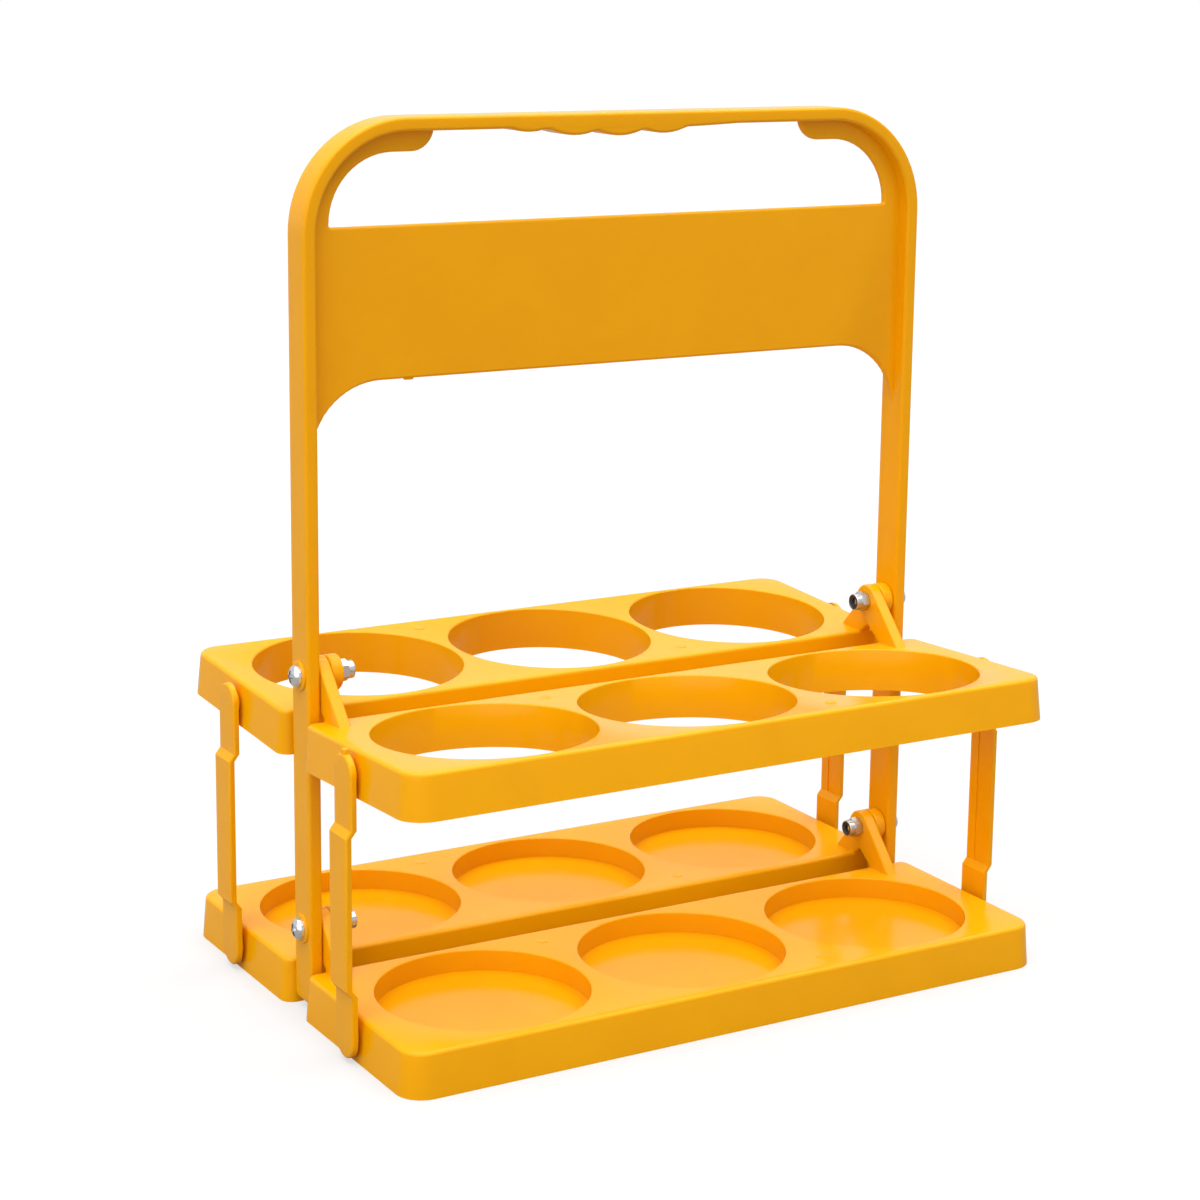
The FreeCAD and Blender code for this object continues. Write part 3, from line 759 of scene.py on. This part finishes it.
@dataclass
class SideLink:
    """A side strip that ties an upper tray to a lower one.

    Its gate leaves a stub on the upper end, unless it was cut flush.
    """

    workshop: Workshop
    row: Row
    side: Side
    has_stub: bool
    strip_middle: float = 136.1 * MM
    strip_top: float = 111.1 * MM
    hole_row: float = 50.9 * MM
    gate_size: tuple[float, float, float] = (1.9 * MM, 2.5 * MM, 2.2 * MM)
    gate_rounding: float = 0.35 * MM
    # How much of the stub stands out of the strip's end
    gate_height: float = 1.7 * MM

    @property
    def name(self) -> str:
        """Name of the strip's body."""
        return f"{self.row.value}_{self.side.value}"

    def build(self) -> None:
        """Builds the gate's stub, if it was left on."""
        if not self.has_stub:
            return
        work = bmesh.new()
        middle = self.strip_top + self.gate_height - self.gate_size[2] / 2
        centre = Vector((self.side.out * self.strip_middle, self.row.out * self.hole_row, middle))
        add_stub(work, centre, self.gate_size, self.gate_rounding)
        self.workshop.mould(f"{self.name}_gate_stub", work, self.name)

    def dress(self) -> None:
        """Gives the strip its finish."""
        self.workshop.dress(f"{self.name}_link", self.workshop.plastic)


@dataclass
class HingeHardware:
    """A pan-head bolt and a lock nut with a nylon ring, which hold one hinge."""

    workshop: Workshop
    tier: Tier
    side: Side

    def dress(self) -> None:
        """Gives the bolt, the nut and its ring their finishes."""
        name = f"{self.tier.value}_{self.side.value}"
        self.workshop.dress(f"{name}_bolt", self.workshop.bolt_steel)
        self.workshop.dress(f"{name}_lock_nut", self.workshop.nut_steel)
        self.workshop.dress(f"{name}_nut_insert", self.workshop.nylon)


@dataclass(frozen=True)
class SoftLight:
    """A very large soft light, far enough away to light the whole floor alike."""

    name: str
    towards: tuple[float, float, float]
    # Brightness that it gives a white surface facing it, where 1 is white
    brightness: float
    width: float

    def hang(self) -> None:
        """Makes the lamp."""
        lamp = bpy.data.lights.new(self.name, "SUN")
        lamp.energy = self.brightness * math.pi
        lamp.angle = math.radians(self.width)
        lamp_object = bpy.data.objects.new(self.name, lamp)
        bpy.context.scene.collection.objects.link(lamp_object)
        lamp_object.rotation_euler = (-Vector(self.towards)).to_track_quat("-Z", "Y").to_euler()
        log.info("%s", self.name)


@dataclass
class Studio:
    """The pale floor, the soft lights, the white surroundings and the photograph's camera."""

    lights: tuple[SoftLight, ...] = (
        SoftLight("window_side", (-0.76, -0.44, 0.48), 0.43, 75.0),
        SoftLight("overhead", (0.05, -0.06, 1.0), 1.2, 80.0),
    )
    surroundings_light: float = 0.5
    surroundings_mirrored: float = 0.8
    floor_size: float = 12.0
    # The camera, solved from the photograph's own pixels
    focal_pixels: float = 2749.998
    picture_pixels: float = 1200.0
    centre_pixels: tuple[float, float] = (639.565, 508.764)
    yaw: float = -31.008
    pitch: float = 11.670
    roll: float = 0.832
    target: tuple[float, float, float] = (9.628 * MM, 0.0, 172.671 * MM)
    distance: float = 1035.967 * MM
    sensor_width: float = 36.0
    clip: tuple[float, float] = (0.05, 50.0)

    def build(self) -> None:
        """Builds the floor, the lights, the surroundings and the camera."""
        self.lay_floor()
        for light in self.lights:
            light.hang()
        self.build_surroundings()
        self.build_camera()

    def lay_floor(self) -> None:
        """Lays the pale floor under the feet."""
        mesh = bpy.data.meshes.new("studio_floor")
        work = bmesh.new()
        bmesh.ops.create_grid(work, x_segments=1, y_segments=1, size=self.floor_size / 2)
        work.to_mesh(mesh)
        work.free()
        mesh.materials.append(StudioPaper().build())
        floor = bpy.data.objects.new("studio_floor", mesh)
        bpy.context.scene.collection.objects.link(floor)
        log.info("studio_floor")

    def build_surroundings(self) -> None:
        """Makes the white surroundings."""
        world = bpy.data.worlds.new("white_studio")
        world.use_nodes = True
        tree = world.node_tree
        tree.nodes.clear()
        strength = seen_strength(tree, self.surroundings_light, self.surroundings_mirrored, 1.0)
        light = add_node(
            tree,
            "ShaderNodeBackground",
            inputs={"Color": hex_to_linear("#FFFFFF"), "Strength": strength},
        )
        add_node(tree, "ShaderNodeOutputWorld", inputs={"Surface": light.outputs["Background"]})
        bpy.context.scene.world = world
        bpy.context.scene.view_settings.view_transform = "Standard"

    def build_camera(self) -> None:
        """Sets the camera up as it was worked out from the photograph."""
        yaw, pitch, roll = (math.radians(angle) for angle in (self.yaw, self.pitch, self.roll))
        level_back = Vector((math.sin(yaw), -math.cos(yaw), 0.0))
        back = level_back * math.cos(pitch) + Vector((0.0, 0.0, math.sin(pitch)))
        level = (-back).cross(Vector((0, 0, 1))).normalized()
        upright = level.cross(-back)
        right = math.cos(roll) * level + math.sin(roll) * upright
        up = math.cos(roll) * upright - math.sin(roll) * level
        lens = bpy.data.cameras.new("photo_camera")
        lens.sensor_width = self.sensor_width
        lens.lens = self.focal_pixels / self.picture_pixels * self.sensor_width
        lens.shift_x = 0.5 - self.centre_pixels[0] / self.picture_pixels
        lens.shift_y = self.centre_pixels[1] / self.picture_pixels - 0.5
        lens.clip_start, lens.clip_end = self.clip
        camera = bpy.data.objects.new("photo_camera", lens)
        bpy.context.scene.collection.objects.link(camera)
        place = Matrix((right, up, back)).transposed().to_4x4()
        place.translation = Vector(self.target) + back * self.distance
        camera.matrix_world = place
        bpy.context.scene.camera = camera
        log.info("camera")


def main() -> None:
    """Builds and dresses the carrier's sub-assemblies in order, then sets up the studio."""
    logging.basicConfig(level=logging.INFO, format="%(name)s: %(message)s")
    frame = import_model()
    workshop = Workshop(
        nodes=frame["nodes"],
        smoothing=smooth_group(SMOOTH_ANGLE),
        plastic=MouldedPolypropylene().build(),
        bolt_steel=ZincPlatedSteel("bright_zinc_plate", "#DADCDD", Surface.BRIGHT_PLATING).build(),
        nut_steel=ZincPlatedSteel("tumbled_zinc_plate", "#C9CBCD", Surface.TUMBLED_PLATING).build(),
        nylon=BlackNylon().build(),
    )
    moulded = [HandleFrame(workshop)]
    moulded += [Tray(workshop, tier, row) for tier in Tier for row in Row]
    # Only the front left strip shows its stub in the photograph
    stubbed = (Row.FRONT, Side.LEFT)
    moulded += [
        SideLink(workshop, row, side, has_stub=(row, side) == stubbed)
        for row in Row
        for side in Side
    ]
    for assembly in moulded:
        assembly.build()
        assembly.dress()
    for tier in Tier:
        for side in Side:
            HingeHardware(workshop, tier, side).dress()
    Studio().build()


if __name__ == "__main__":
    main()
